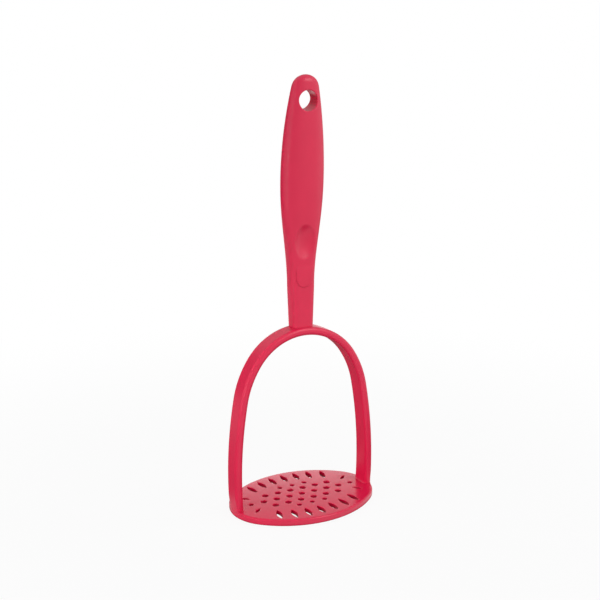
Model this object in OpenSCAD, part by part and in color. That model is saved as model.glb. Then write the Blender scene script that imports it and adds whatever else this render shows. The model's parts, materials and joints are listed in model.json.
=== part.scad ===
// Potato masher: an oval perforated plate, a strap bent into a bow, a flat neck and a contoured grip.
// A steel frame (bar, strip and sheet) and a stiff paddle sit inside soft red mouldings.
// Z is up, the plate's underside is at z = 0, X runs along the plate and the thumb side faces -Y.

/* [Overall] */
// Height from the plate's underside to the top of the grip
total_h = 260; // [245:1:290]

/* [Mashing plate] */
// Length of the oval plate
plate_l = 94.8; // [86:0.2:104]
// Width of the oval plate
plate_w = 69.2; // [62:0.1:78]
// Radius of the oval's end arcs
plate_end_r = 26.4; // [24:0.1:28]
// Height of the plate's rim
plate_t = 4.3; // [4:0.1:6]
// Thickness of the perforated web inside the rim
web_t = 2.5; // [1.8:0.1:3]
// Width of the rim under the web
rim_w = 2.6; // [2:0.1:4]
// Rounding of the plate's top edge
plate_edge_r = 1; // [0.4:0.1:1.4]
// Rounding of the plate's bottom edge
plate_foot_r = 1.2; // [0.2:0.1:1.4]

/* [Plate holes] */
// Diameter of the round holes
hole_d = 4; // [2.5:0.1:4.5]
// Diameter of the round holes at the rim of the field
small_hole_d = 3.1; // [2:0.1:4]
// Distance between holes in a row
hole_pitch = 8.8; // [7.5:0.1:9.5]
// Distance from the middle row to the next row
row_1_y = 7.4; // [6.5:0.1:8]
// Distance from the middle row to the outer row
row_2_y = 13.7; // [12.5:0.1:15]

/* [Plate slots] */
// Length of a leaf-shaped slot
slot_l = 10.8; // [8:0.1:11.5]
// Width of a leaf-shaped slot at its middle
slot_w = 3.3; // [2:0.1:4]
// Distance between slots along the plate
slot_pitch = 8.5; // [7:0.1:9]
// Web between a slot's outer tip and the plate's long edge
slot_edge = 3.8; // [3:0.1:5]
// Inset of the slots' oval from the plate's ends
slot_end_inset = 7; // [5:0.5:9]
// Turn from one slot to the next
slot_fan = 4; // [0:0.5:6]
// Distance of the corner slots' middles from the plate's ends
corner_slot_inset = 12.5; // [11:0.1:15]
// Distance of the corner slots from the middle, across the plate
corner_slot_y = 9.3; // [8.5:0.1:11]
// Turn of the corner slots from the plate's length
corner_slot_turn = 42; // [20:1:60]
// Length of a corner slot
corner_slot_l = 6.6; // [5:0.1:7.5]
// Width of a corner slot
corner_slot_w = 2; // [1.5:0.1:3]

/* [Bow] */
// Height of the bow's crown over the plate's underside
bow_h = 113; // [95:0.1:125]
// Width of the strap
bow_w = 13.4; // [12.6:0.1:15]
// Thickness of the strap
bow_t = 4.9; // [4.4:0.1:5.6]
// Rounding of the strap's edges
bow_edge_r = 2.1; // [1:0.1:2.2]
// Radius of the bow's shoulders
shoulder_r = 60.5; // [48:0.5:70]
// Slope at which the crown's arc meets the shoulder's
crown_slope = 55.5; // [45:0.5:60]
// Slope at which the shoulder's arc meets the leg's
shoulder_slope = 79.5; // [74:0.5:84]
// Slope of the leg where it meets the plate, past upright
foot_slope = 93.5; // [92:0.5:98]
// How far a foot stands in from the end of the oval
foot_in = 0.1; // [0:0.1:1.5]
// Fillet between a leg and the plate
foot_fillet = 3; // [1:0.5:4]

/* [Neck] */
// Width of the neck on the bow
neck_w = 13.4; // [12:0.1:15.5]
// Width of the neck where the grip swells out of it
neck_top_w = 15.4; // [12.5:0.1:17]
// Depth of the neck, front to back
neck_d = 10.1; // [9:0.1:11.5]
// How far the neck is set back from the middle of the strap
neck_back = 0.8; // [0:0.1:1.2]
// Length of the neck, from the crown to where the grip swells out of it
neck_l = 24.2; // [18:0.2:30]

/* [Grip] */
// Height of the grip's lower end over the end of the neck
seam_rise = 10; // [8:0.5:16]
// Distance of the grip's widest place below its top
belly_drop = 58.8; // [50:0.2:68]
// Width of the grip at its widest
belly_w = 26.6; // [23:0.1:32]
// Depth of the grip at its widest
belly_d = 14.5; // [13.5:0.1:20]
// Radius of the grip's end, seen from the front
end_r = 8.4; // [8:0.1:11]
// Radius of the grip's end, seen from the side
end_side_r = 4.6; // [3.5:0.1:5.5]
// How far the grip's end leans to the front
grip_lean = 6.5; // [0:0.5:8]
// Length of the upper part of the grip that leans
lean_l = 119; // [95:1:125]
// Diameter of the hanging hole
hang_d = 11.6; // [9:0.1:13]
// Distance of the hanging hole's middle below the top of the grip
hang_drop = 14; // [12:0.1:18]
// Length of the thumb dish
thumb_l = 20.5; // [17:0.5:24]
// Width of the thumb dish, were the grip flat there
thumb_w = 14; // [10:0.1:16]
// Depth of the thumb dish
thumb_depth = 1.9; // [1:0.1:2.2]
// Height of the thumb dish's middle over the grip's lower end
thumb_rise = 14.8; // [12:0.2:20]
// Width of the tongue that laps the neck
tongue_w = 10.4; // [8:0.1:11]
// Length of the tongue below the grip's lower end
tongue_l = 9.8; // [7:0.1:11.5]
// How deep the tongue is let into the neck
tongue_let = 1.6; // [1:0.1:2]
// How far the tongue stands proud of the neck
tongue_proud = 0.4; // [0.2:0.1:0.8]

/* [Frame inside] */
// Width of the stem bar
bar_w = 8; // [6:0.5:9]
// Thickness of the stem bar
bar_t = 2.5; // [2:0.1:3]
// Distance of the stem bar's top below the paddle's upper end
bar_drop = 8; // [4:0.5:12]
// Width of the tenons on the bar and on the strip
tenon_w = 5; // [4:0.5:5.5]
// Width of the bow strip
strip_w = 9.2; // [7.5:0.1:10]
// Thickness of the bow strip
strip_t = 1.4; // [1:0.1:1.8]
// Thickness of the plate insert
insert_t = 0.8; // [0.6:0.1:1]
// Inset of the plate insert from the plate's edge
insert_inset = 2; // [1.6:0.1:2.4]
// Soft lining of each hole and slot through the insert
lining = 1; // [0.6:0.1:1.2]
// Thickness of the paddle in the grip
core_t = 5; // [4.6:0.1:5.4]
// Inset of the paddle from the grip's outline, seen from the front
core_inset = 4.2; // [3.6:0.1:5]
// Height of the paddle's lower end over the grip's lower end
core_rise = 18; // [14:0.5:22]
// Distance of the paddle's upper end below the top of the grip
core_drop = 52; // [48:1:58]
// Diameter of the pegs that lock the paddle on the bar
peg_d = 4; // [3:0.1:5]
// Distance of the pegs from the paddle's lower end and from the bar's top
peg_inset = 7; // [6:0.5:12]
// Gap between the frame and what is moulded round it
fit = 0.1; // [0.05:0.05:0.2]

/* [Hidden] */
$fn = 96;
soft_red = [0.81, 0.20, 0.31];
core_grey = [0.55, 0.56, 0.58];
steel = [0.74, 0.75, 0.77];
past = 1;            // how far a cut runs past the face that it opens

// Oval plate: two end arcs and two side arcs that meet tangentially.
half_l = plate_l / 2;
half_w = plate_w / 2;
end_x = half_l - plate_end_r;
side_r = (pow(end_x, 2) + pow(half_w, 2) - pow(plate_end_r, 2)) / (2 * (half_w - plate_end_r));
side_y = side_r - half_w;
side_turn = atan2(end_x, side_y);
end_turn = 90 - side_turn;
end_steps = 24;      // facets of each end arc
side_steps = 20;     // facets of each side arc
edge_steps = 4;      // facets round the plate's edges
edge_fade = 3;       // stretch beside a foot over which the top edge's rounding runs out
web_z = plate_t - web_t;
insert_z = web_z + (web_t - insert_t) / 2;
insert_top_z = insert_z + insert_t;
slot_oval_l = half_l - slot_end_inset;
slot_oval_w = half_w - slot_edge - slot_l / 2;
slot_side_n = 3;     // slots on each side of the middle one
row_1_n = 6;         // holes in the rows next to the middle row
row_2_n = 3;         // holes in the outer rows
hole_web = 1.5;      // least web between the middle row and a foot

// Bow: crown, shoulder and leg arcs; the feet stand on the ends of the oval.
foot_x = half_l - foot_in;
run_left = foot_x - shoulder_r * (sin(shoulder_slope) - sin(crown_slope));
drop_left = bow_h - plate_t - shoulder_r * (cos(crown_slope) - cos(shoulder_slope));
leg_run = sin(foot_slope) - sin(shoulder_slope);
leg_drop = cos(shoulder_slope) - cos(foot_slope);
bow_det = sin(crown_slope) * leg_drop - leg_run * (1 - cos(crown_slope));
crown_r = (run_left * leg_drop - leg_run * drop_left) / bow_det;
leg_r = (sin(crown_slope) * drop_left - (1 - cos(crown_slope)) * run_left) / bow_det;
crown_mid = [0, bow_h - crown_r];
shoulder_mid = crown_mid + (crown_r - shoulder_r) * [sin(crown_slope), cos(crown_slope)];
leg_mid = shoulder_mid + (shoulder_r - leg_r) * [sin(shoulder_slope), cos(shoulder_slope)];
leg_past = 3;        // extra turn of the leg's arc, cut off level at the plate
crown_steps = 24;    // facets of the crown's arc
shoulder_steps = 8;  // facets of each shoulder's arc
leg_steps = 8;       // facets of each leg's arc
strip_in = (bow_t - strip_t) / 2;
strip_top_z = bow_h - strip_in;
corner_steps = 4;    // facets round a corner of the strap
fillet_steps = 8;    // facets of a foot's fillet
fillet_lip = 0.1;    // share of the fillet's quarter circle left off where it would run out thin
// The middle row reaches as near to the feet as its web allows.
row_0_side_n = floor((foot_x - bow_t - foot_fillet - small_hole_d / 2 - hole_web) / hole_pitch);

// Neck and grip: the front and side outlines are a belly arc that runs tangentially into the end's arc.
swell_z = bow_h + neck_l;
seam_z = swell_z + seam_rise;
tongue_z = seam_z - tongue_l;
belly_z = total_h - belly_drop;
lean_z = total_h - lean_l;
thumb_z = seam_z + thumb_rise;
core_z = seam_z + core_rise;
core_top_z = total_h - core_drop;
bar_top_z = core_top_z - bar_drop;
end_z = total_h - end_r;
end_side_z = total_h - end_side_r;
belly_r = (pow(belly_w / 2, 2) + pow(end_z - belly_z, 2) - pow(end_r, 2)) / (belly_w - 2 * end_r);
belly_side_r =
    (pow(belly_d / 2, 2) + pow(end_side_z - belly_z, 2) - pow(end_side_r, 2)) / (belly_d - 2 * end_side_r);
end_meet_z = end_z + end_r * (end_z - belly_z) / (belly_r - end_r);
end_side_meet_z = end_side_z + end_side_r * (end_side_z - belly_z) / (belly_side_r - end_side_r);
hang_z = total_h - hang_drop;
hang_tilt = atan(2 * grip_lean * (hang_z - lean_z) / pow(lean_l, 2));
thumb_r = (pow(thumb_l / 2, 2) + pow(thumb_depth, 2)) / (2 * thumb_depth);
peg_zs = [core_z + peg_inset, bar_top_z - peg_inset];
ring_sides = 40;     // corners of each ring of the handle's surface
neck_rings = 3;
tongue_rings = 6;
swell_rings = 16;
belly_rings = 10;
end_rings = 7;
core_rings = 12;
tip_slope = 87;      // slope of the last ring of the grip's end
tip_flat = 0.005;    // how far the flat tip stays under the full height
corner_power = 4.5;  // how square the neck's section is
belly_power = 2.5;   // how square the grip's section is

// 0 at the neck, 1 at the belly, level at both ends.
function swell(z) =
    z <= swell_z ? 0
    : z >= belly_z ? 1
    : 0.5 - 0.5 * cos(180 * (z - swell_z) / (belly_z - swell_z));

function neck_half_w(z) =
    let (share = min(1, max(0, (z - bow_h) / neck_l)))
    (neck_w + (neck_top_w - neck_w) * share) / 2;

function end_arc(z, mid_z, r) = sqrt(max(0, r * r - pow(z - mid_z, 2)));

function belly_arc(z, half, r) = half - r + sqrt(r * r - pow(z - belly_z, 2));

// Half width and half depth of the handle at a height.
function half_width(z) =
    z > end_meet_z ? end_arc(z, end_z, end_r)
    : z > belly_z ? belly_arc(z, belly_w / 2, belly_r)
    : neck_half_w(z) + (belly_w / 2 - neck_half_w(z)) * swell(z);

function half_depth(z) =
    z > end_side_meet_z ? end_arc(z, end_side_z, end_side_r)
    : z > belly_z ? belly_arc(z, belly_d / 2, belly_side_r)
    : neck_d / 2 + (belly_d - neck_d) / 2 * swell(z);

function lean(z) = z < lean_z ? 0 : -grip_lean * pow((z - lean_z) / lean_l, 2);

// Middle of the handle, front to back, at a height.
function mid_y(z) = lean(z) + neck_back * (1 - swell(z));

function section_power(z) = corner_power + (belly_power - corner_power) * swell(z);

function rounded(v, power) = sign(v) * pow(abs(v), 2 / power);

// One closed ring of the handle's surface, a superellipse, swollen by grow.
function ring(z, grow) = [
    for (k = [0:ring_sides - 1])
        let (t = 360 * (k + 0.5) / ring_sides, n = section_power(z))
        [
            (half_width(z) + grow) * rounded(cos(t), n),
            (half_depth(z) + grow) * rounded(sin(t), n) + mid_y(z),
            z
        ]
];

function steps(from, to, n) = [for (i = [0:n]) from + (to - from) * i / n];

// The steps without the first one, which the stretch before already has.
function later_steps(from, to, n) = [for (i = [1:n]) from + (to - from) * i / n];

// Solid through rings of as many points each, with flat ends.
module skin(rings) {
    n = len(rings[0]);
    last = len(rings) - 1;
    points = [for (r = rings, p = r) p];
    sides = [
        for (i = [0:last - 1], k = [0:n - 1])
            let (a = i * n + k, b = i * n + (k + 1) % n)
            each [[a, a + n, b], [b, a + n, b + n]]
    ];
    bottom = [[for (k = [0:n - 1]) k]];
    top = [[for (k = [n - 1:-1:0]) last * n + k]];
    polyhedron(points, concat(sides, bottom, top), convexity = 6);
}

// Stretch of the handle's surface through the given heights, swollen by grow.
module lofted(heights, grow = 0) skin([for (z = heights) ring(z, grow)]);

// Point on a quarter circle that starts at a quadrant, part of the way round.
function quarter(quadrant, share, r) = r * [cos(90 * (quadrant + share)), sin(90 * (quadrant + share))];

// Corners of a rectangle with rounded corners, from its lower left corner.
function rounded_rect(w, h, r) =
    let (mids = [[w - r, h - r], [r, h - r], [r, r], [w - r, r]])
    [for (c = [0:3], k = [0:corner_steps]) mids[c] + quarter(c, k / corner_steps, r)];

// Rays that end on the oval's outline, each as [centre, radius, angle], anticlockwise from the right end.
oval_rays = [
    for (half = [0, 180])
        let (s = half == 0 ? 1 : -1)
        each concat(
            [for (a = steps(-end_turn, end_turn, end_steps)) [[s * end_x, 0], plate_end_r, a + half]],
            [
                for (i = [1:side_steps - 1])
                    [[0, -s * side_y], side_r, 90 - side_turn + 2 * side_turn * i / side_steps + half]
            ]
        )
];

function on_ray(ray, inset) = ray[0] + (ray[1] - inset) * [cos(ray[2]), sin(ray[2])];

// Outline inside the oval by inset.
module oval(inset) polygon([for (ray = oval_rays) on_ray(ray, inset)]);

// Share of the top edge's rounding at a distance from the plate's long axis: none where a foot stands.
function edge_share(y) = min(1, max(0, (abs(y) - bow_w / 2) / edge_fade));

// Rings of the plate's skin from its underside to its top, with both edges rounded.
function plate_rings() = concat(
    [
        for (k = steps(0, 1, edge_steps))
            let (c = plate_foot_r * [1 - sin(90 * k), 1 - cos(90 * k)])
            [for (ray = oval_rays) concat(on_ray(ray, c[0]), c[1])]
    ],
    [
        for (k = steps(0, 1, edge_steps))
            let (c = plate_edge_r * [1 - cos(90 * k), sin(90 * k) - 1])
            [for (ray = oval_rays) concat(on_ray(ray, c[0] * edge_share(on_ray(ray, 0)[1])), plate_t + c[1])]
    ]
);

function row_x(n) = [for (i = [0:n - 1]) (i - (n - 1) / 2) * hole_pitch];

// Every round hole as [x, y, diameter].
function round_holes() = concat(
    [
        for (i = [-row_0_side_n:row_0_side_n])
            [i * hole_pitch, 0, abs(i) == row_0_side_n ? small_hole_d : hole_d]
    ],
    [for (s = [-1, 1], x = row_x(row_1_n)) [x, s * row_1_y, hole_d]],
    [for (s = [-1, 1], x = row_x(row_2_n)) [x, s * row_2_y, small_hole_d]]
);

// Leaf shape along X: the lens where two circles overlap.
module leaf(l, w) {
    r = (l * l + w * w) / (4 * w);
    intersection() {
        translate([0, w / 2 - r]) circle(r);
        translate([0, r - w / 2]) circle(r);
    }
}

// Cutters for every hole and slot, widened all round by grow.
module plate_cuts(grow) {
    depth = plate_t + 2 * past;
    for (h = round_holes()) translate([h[0], h[1], -past]) cylinder(d = h[2] + 2 * grow, h = depth);
    for (s = [-1, 1], i = [-slot_side_n:slot_side_n]) {
        x = i * slot_pitch;
        y = s * slot_oval_w * sqrt(1 - pow(x / slot_oval_l, 2));
        translate([x, y, -past])
            rotate(90 - s * i * slot_fan)
                linear_extrude(depth) leaf(slot_l + 2 * grow, slot_w + 2 * grow);
    }
    for (sx = [-1, 1], sy = [-1, 1])
        translate([sx * (half_l - corner_slot_inset), sy * corner_slot_y, -past])
            rotate(sx * sy * corner_slot_turn)
                linear_extrude(depth) leaf(corner_slot_l + 2 * grow, corner_slot_w + 2 * grow);
}

// Point of the bow's path in the XZ plane at a slope, so far under its outer face.
function bow_point(slope, depth) =
    let (
        a = abs(slope),
        mid = a <= crown_slope ? crown_mid : a <= shoulder_slope ? shoulder_mid : leg_mid,
        r = a <= crown_slope ? crown_r : a <= shoulder_slope ? shoulder_r : leg_r,
        p = mid + (r - depth) * [sin(a), cos(a)]
    )
    [sign(slope) * p[0], p[1]];

leg_slopes = concat(
    later_steps(crown_slope, shoulder_slope, shoulder_steps),
    later_steps(shoulder_slope, foot_slope + leg_past, leg_steps)
);
bow_slopes = concat(
    [for (i = [len(leg_slopes) - 1:-1:0]) -leg_slopes[i]],
    steps(-crown_slope, crown_slope, crown_steps),
    leg_slopes
);

// Strap along the bow's whole path, with rounded edges.
module strap() {
    section = rounded_rect(bow_t, bow_w, bow_edge_r);
    skin([
        for (slope = bow_slopes)
            [for (c = section) let (p = bow_point(slope, c[0])) [p[0], c[1] - bow_w / 2, p[1]]]
    ]);
}

// Square-edged band along the bow's path, between two depths under its outer face.
module band(out, in, w)
    rotate([90, 0, 0])
        linear_extrude(w, center = true)
            polygon(concat(
                [for (slope = bow_slopes) bow_point(slope, out)],
                [for (i = [len(bow_slopes) - 1:-1:0]) bow_point(bow_slopes[i], in)]
            ));

// Everything below a height, wide enough to cut the whole bow.
module below(z) translate([-plate_l, -plate_l, z - plate_l]) cube([2 * plate_l, 2 * plate_l, plate_l]);

// The bow strip's metal, widened by grow, down to a height.
module strip_metal(w, grow, down_to) difference() {
    band(strip_in - grow, strip_in + strip_t + grow, w + 2 * grow);
    below(down_to);
}

// Upright bar of the stem's section, widened by grow.
module bar(w, grow, from_z, to_z)
    translate([-w / 2 - grow, -bar_t / 2 - grow, from_z])
        cube([w + 2 * grow, bar_t + 2 * grow, to_z - from_z]);

// Outline of the paddle seen from the front, widened by grow.
module core_outline(grow) {
    levels = steps(core_z - grow, core_top_z + grow, core_rings);
    right = [for (z = levels) [half_width(z) - core_inset + grow, z]];
    left = [for (i = [len(levels) - 1:-1:0]) [-right[i][0], right[i][1]]];
    polygon(concat(right, left));
}

module core_block(grow)
    rotate([90, 0, 0]) linear_extrude(core_t + 2 * grow, center = true) core_outline(grow);

// Pegs across the bar, widened by grow.
module pegs(grow, l)
    for (z = peg_zs)
        translate([0, 0, z]) rotate([90, 0, 0]) cylinder(d = peg_d + 2 * grow, h = l, center = true);

// Block that the tongue fills: a strip with a round lower end, let into the neck and open to the front.
module tongue_block(grow) {
    r = tongue_w / 2 + grow;
    round_z = tongue_z + tongue_w / 2;
    translate([0, neck_back - neck_d / 2 + tongue_let + grow, 0])
        rotate([90, 0, 0])
            linear_extrude(neck_d) {
                translate([0, round_z]) circle(r);
                translate([-r, round_z]) square([2 * r, seam_z - round_z]);
            }
}

module hang_hole()
    translate([0, lean(hang_z), hang_z])
        rotate([hang_tilt - 90, 0, 0]) cylinder(d = hang_d, h = 2 * belly_d, center = true);

// Dish with a round hollow along the grip and a tighter one across it.
module thumb_dish() {
    across_r = (pow(thumb_w / 2, 2) + pow(thumb_depth, 2)) / (2 * thumb_depth);
    middle = thumb_r - across_r;
    translate([0, mid_y(thumb_z) - half_depth(thumb_z) + thumb_depth - thumb_r, thumb_z])
        rotate([0, 90, 0])
            rotate_extrude() intersection() {
                translate([middle, 0]) circle(across_r);
                translate([middle, -across_r - past]) square([across_r + past, 2 * (across_r + past)]);
            }
}

// Soft handle moulding with the hanging hole, the thumb dish and the tongue.
module grip() color(soft_red) {
    end_slope = asin((end_meet_z - end_z) / end_r);
    body_zs = concat(steps(seam_z, belly_z, swell_rings), later_steps(belly_z, end_meet_z, belly_rings));
    tip_zs = [for (a = later_steps(end_slope, tip_slope, end_rings)) end_z + end_r * sin(a)];
    difference() {
        union() {
            lofted(concat(body_zs, tip_zs, [total_h - tip_flat]));
            intersection() {
                lofted(steps(tongue_z - past, seam_z, tongue_rings), tongue_proud);
                tongue_block(0);
            }
        }
        hang_hole();
        thumb_dish();
        core_block(fit);
        bar(bar_w, fit, tongue_z - past, bar_top_z + fit);
    }
}

// Stiff paddle that carries the grip, with two pegs through the bar.
module grip_core() color(core_grey) {
    difference() {
        core_block(0);
        bar(bar_w, fit, core_z - past, bar_top_z + fit);
    }
    pegs(0, core_t - 2 * fit);
}

// Flat steel bar with a tenon that goes through the bow strip's crown.
module stem_bar() color(steel) difference() {
    union() {
        bar(bar_w, 0, strip_top_z, bar_top_z);
        bar(tenon_w, 0, strip_top_z - strip_t, strip_top_z);
    }
    pegs(fit, bar_t + 2 * past);
}

// Soft moulding of the flat neck, cut to sit on the crown.
module neck_sleeve() color(soft_red) difference() {
    neck_zs = concat([bow_h - bow_t], steps(bow_h, swell_z, neck_rings));
    lofted(concat(neck_zs, later_steps(swell_z, seam_z, tongue_rings)));
    translate([crown_mid[0], 0, crown_mid[1]])
        rotate([90, 0, 0]) cylinder(r = crown_r, h = bow_w + 2 * past, center = true, $fn = 360);
    tongue_block(fit);
    bar(bar_w, fit, bow_h - bow_t - past, seam_z + past);
}

// Soft moulding of the strap, open under its feet and at the crown for the frame.
module bow_cover() color(soft_red) difference() {
    union() {
        strap();
        for (side = [0, 1]) mirror([side, 0, 0]) foot_fillet_strip();
    }
    below(plate_t);
    strip_metal(strip_w, fit, plate_t - past);
    bar(bar_w, fit, strip_top_z - strip_t, bow_h + past);
}

// Hollow fillet between a foot's inner side and the plate, to be cut off level at the plate.
module foot_fillet_strip() {
    length = bow_w - 2 * (bow_edge_r + fit);
    hollow = [for (k = steps(fillet_lip, 1, fillet_steps)) [0, foot_fillet] + quarter(3, k, foot_fillet)];
    inside_x = foot_fillet + bow_t / 2;
    root = [[inside_x, foot_fillet], [inside_x, -past], [hollow[0][0], -past]];
    translate([foot_x - bow_t - foot_fillet, length / 2, plate_t])
        rotate([90, 0, 0]) linear_extrude(length) polygon(concat(hollow, root));
}

// Bent steel strip inside the bow, shouldered on the plate insert, with a slot for the stem bar's tenon.
module bow_strip() color(steel) difference() {
    strip_metal(strip_w, 0, insert_z);
    for (side = [-1, 1])
        translate([0, side * (tenon_w + strip_w) / 2, insert_top_z / 2])
            cube([2 * plate_l, strip_w, insert_top_z], center = true);
    bar(tenon_w, fit, strip_top_z - strip_t - past, bow_h);
}

// Soft oval plate round the insert, recessed under its web and open under each foot for the strip.
module plate_cover() color(soft_red) difference() {
    skin(plate_rings());
    translate([0, 0, -past]) linear_extrude(web_z + past) oval(rim_w);
    plate_cuts(0);
    difference() {
        translate([0, 0, insert_z - fit]) linear_extrude(insert_t + 2 * fit) oval(insert_inset - fit);
        plate_cuts(lining - fit);
    }
    strip_metal(strip_w, fit, insert_z);
}

// Perforated steel sheet inside the plate, with a notch in each end for a tenon of the strip.
module plate_insert() color(steel) difference() {
    translate([0, 0, insert_z]) linear_extrude(insert_t) oval(insert_inset);
    plate_cuts(lining);
    strip_metal(tenon_w, fit, insert_z - past);
    for (side = [0, 1]) mirror([side, 0, 0])
        translate([foot_x - bow_t / 2, -tenon_w / 2 - fit, 0]) cube([bow_t, tenon_w + 2 * fit, plate_t]);
}

grip();
grip_core();
stem_bar();
neck_sleeve();
bow_cover();
bow_strip();
plate_cover();
plate_insert();
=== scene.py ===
"""Soft red skin, steel frame and photo stage of a hand potato masher, built over its CAD frame."""

import json
import math

import bmesh
import bpy
from bpy.props import FloatProperty, FloatVectorProperty, PointerProperty
from mathutils import Matrix, Vector


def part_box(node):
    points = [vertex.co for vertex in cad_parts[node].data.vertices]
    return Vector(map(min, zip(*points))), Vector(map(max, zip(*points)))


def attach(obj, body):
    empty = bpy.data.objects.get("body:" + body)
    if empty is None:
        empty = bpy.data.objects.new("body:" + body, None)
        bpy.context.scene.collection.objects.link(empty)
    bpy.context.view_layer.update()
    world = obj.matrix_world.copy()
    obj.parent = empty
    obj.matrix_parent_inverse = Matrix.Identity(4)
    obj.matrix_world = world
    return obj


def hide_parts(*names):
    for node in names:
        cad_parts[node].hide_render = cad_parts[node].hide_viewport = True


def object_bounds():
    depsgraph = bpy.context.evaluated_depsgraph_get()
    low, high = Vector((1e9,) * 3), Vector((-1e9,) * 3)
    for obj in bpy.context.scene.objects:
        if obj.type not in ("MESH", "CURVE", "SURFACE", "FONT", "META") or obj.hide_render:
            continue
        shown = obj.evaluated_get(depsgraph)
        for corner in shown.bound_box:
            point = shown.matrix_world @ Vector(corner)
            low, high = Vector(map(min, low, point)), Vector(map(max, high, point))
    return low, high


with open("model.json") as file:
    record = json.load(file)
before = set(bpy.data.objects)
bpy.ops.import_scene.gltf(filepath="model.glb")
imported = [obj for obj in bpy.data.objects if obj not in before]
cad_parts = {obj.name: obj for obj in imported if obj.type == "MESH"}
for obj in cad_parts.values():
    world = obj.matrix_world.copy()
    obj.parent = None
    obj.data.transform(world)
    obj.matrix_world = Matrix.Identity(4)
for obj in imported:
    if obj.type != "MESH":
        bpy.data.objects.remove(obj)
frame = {"nodes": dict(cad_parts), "record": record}
CAD_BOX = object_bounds()

bl_info = {
    "name": "Potato masher",
    "version": (1, 0, 0),
    "blender": (4, 5, 0),
    "location": "View3D > Sidebar > Masher",
    "description": "Models the grip, neck, bow and plate of a potato masher over its frame",
    "category": "Object",
}

BODY = "root"
PLATE_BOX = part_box("plate_cover")
BOW_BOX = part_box("bow_cover")
NECK_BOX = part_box("neck_sleeve")
HANG_HOLE = next(m for m in frame["record"]["mounts"] if m["name"] == "hang_hole")
HOLE_MIDDLE = Vector(HANG_HOLE["pos_m"])
HOLE_AXIS = Vector(HANG_HOLE["axis"]).normalized()
WHITE = (1.0, 1.0, 1.0, 1.0)
WELD = 1e-7                    # points closer than this are one point
LOOP_WELD = WELD * 10          # the same for the ends of drawn arcs and for mirrored halves
CREASE = math.radians(40)      # edges bent more than this are shaded sharp
RIM_BEND = math.radians(60)    # edges bent more than this are rims of the plate
HANDLE_SPOKES = 192            # points round the neck and round the grip


def mm(value):
    """Millimetres as metres."""
    return value / 1000


def length(name, description, metres):
    """A length that a user may change."""
    return FloatProperty(
        name=name, description=description, default=metres, min=0.0, unit="LENGTH", precision=5
    )


def turn(name, description, degrees):
    """An angle that a user may change."""
    angle = math.radians(degrees)
    return FloatProperty(name=name, description=description, default=angle, subtype="ANGLE")


def colour(name, description, rgb):
    """A colour that a user may change."""
    return FloatVectorProperty(
        name=name, description=description, default=rgb, size=3, min=0.0, max=1.0, subtype="COLOR"
    )


class HandleSizes(bpy.types.PropertyGroup):
    """Sizes of the neck and the grip"""

    top: length("Top", "Height of the grip's top", CAD_BOX[1].z)
    crown: length("Crown", "Height of the bow's crown, where the neck starts", BOW_BOX[1].z)
    seam: length("Seam", "Height where the grip's moulding meets the neck's", NECK_BOX[1].z)
    neck_length: length("Neck length", "Length of the neck below the grip's swelling", mm(24.2))
    neck_width: length("Neck width", "Width of the neck on the bow", mm(13.4))
    neck_top_width: length("Neck top width", "Width of the neck where the grip swells", mm(15.4))
    neck_depth: length("Neck depth", "Depth of the neck from front to back", mm(10.1))
    neck_back: length("Neck back", "How far the neck is set back from the middle of the strap", mm(0.8))
    belly_drop: length("Belly drop", "Distance of the widest place below the top", mm(58.8))
    belly_width: length("Belly width", "Width of the grip at its widest", mm(26.6))
    belly_depth: length("Belly depth", "Depth of the grip at its widest", mm(14.5))
    end_radius: length("End radius", "Radius of the grip's end seen from the front", mm(8.4))
    end_side_radius: length("End side radius", "Radius of the grip's end seen from the side", mm(4.6))
    lean: length("Lean", "How far the grip's end leans to the front", mm(6.5))
    lean_length: length("Lean length", "Length of the part of the grip that leans", mm(119))
    hole_rim: length("Hole rim", "Rounding of the hanging hole's rims", mm(0.5))
    thumb_rise: length("Thumb rise", "Height of the thumb dish's middle over the seam", mm(15.4))
    thumb_length: length("Thumb length", "Length of the thumb dish", mm(21.2))
    thumb_width: length("Thumb width", "Width of the thumb dish, were the grip flat there", mm(14))
    thumb_depth: length("Thumb depth", "Depth of the thumb dish", mm(2.3))
    thumb_edge: length("Thumb edge", "Softness of the thumb dish's edge", mm(0.35))
    tongue_width: length("Tongue width", "Width of the tongue that laps the neck", mm(10.4))
    tongue_length: length("Tongue length", "Length of the tongue below the seam", mm(9.8))
    tongue_proud: length("Tongue proud", "How far the tongue stands proud of the neck", mm(0.3))
    tongue_let: length("Tongue let", "How deep the tongue is let into the neck", mm(1.2))
    tongue_edge: length("Tongue edge", "Rounding of the tongue's edge", mm(0.25))
    tongue_gap: length("Tongue gap", "Gap round the tongue", mm(0.12))
    tongue_fade: length("Tongue fade", "Length over which the tongue runs out above the seam", mm(6))


class BowSizes(bpy.types.PropertyGroup):
    """Sizes of the strap that is bent into the bow"""

    height: length("Height", "Height of the crown", BOW_BOX[1].z)
    width: length("Width", "Width of the strap", 2 * BOW_BOX[1].y)
    thickness: length("Thickness", "Thickness of the strap", mm(4.9))
    edge: length("Edge", "Rounding of the strap's edges", mm(2.1))
    shoulder_radius: length("Shoulder radius", "Radius of the shoulders", mm(60.5))
    crown_slope: turn("Crown slope", "Slope where the crown's arc meets the shoulder's", 55.5)
    shoulder_slope: turn("Shoulder slope", "Slope where the shoulder's arc meets the leg's", 79.5)
    foot_slope: turn("Foot slope", "Slope of the leg where it meets the plate", 93.5)
    foot_in: length("Foot inset", "How far a foot stands in from the end of the plate", mm(0.1))
    foot_fillet: length("Foot fillet", "Hollow fillet between a leg and the plate", mm(0.8))


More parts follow.
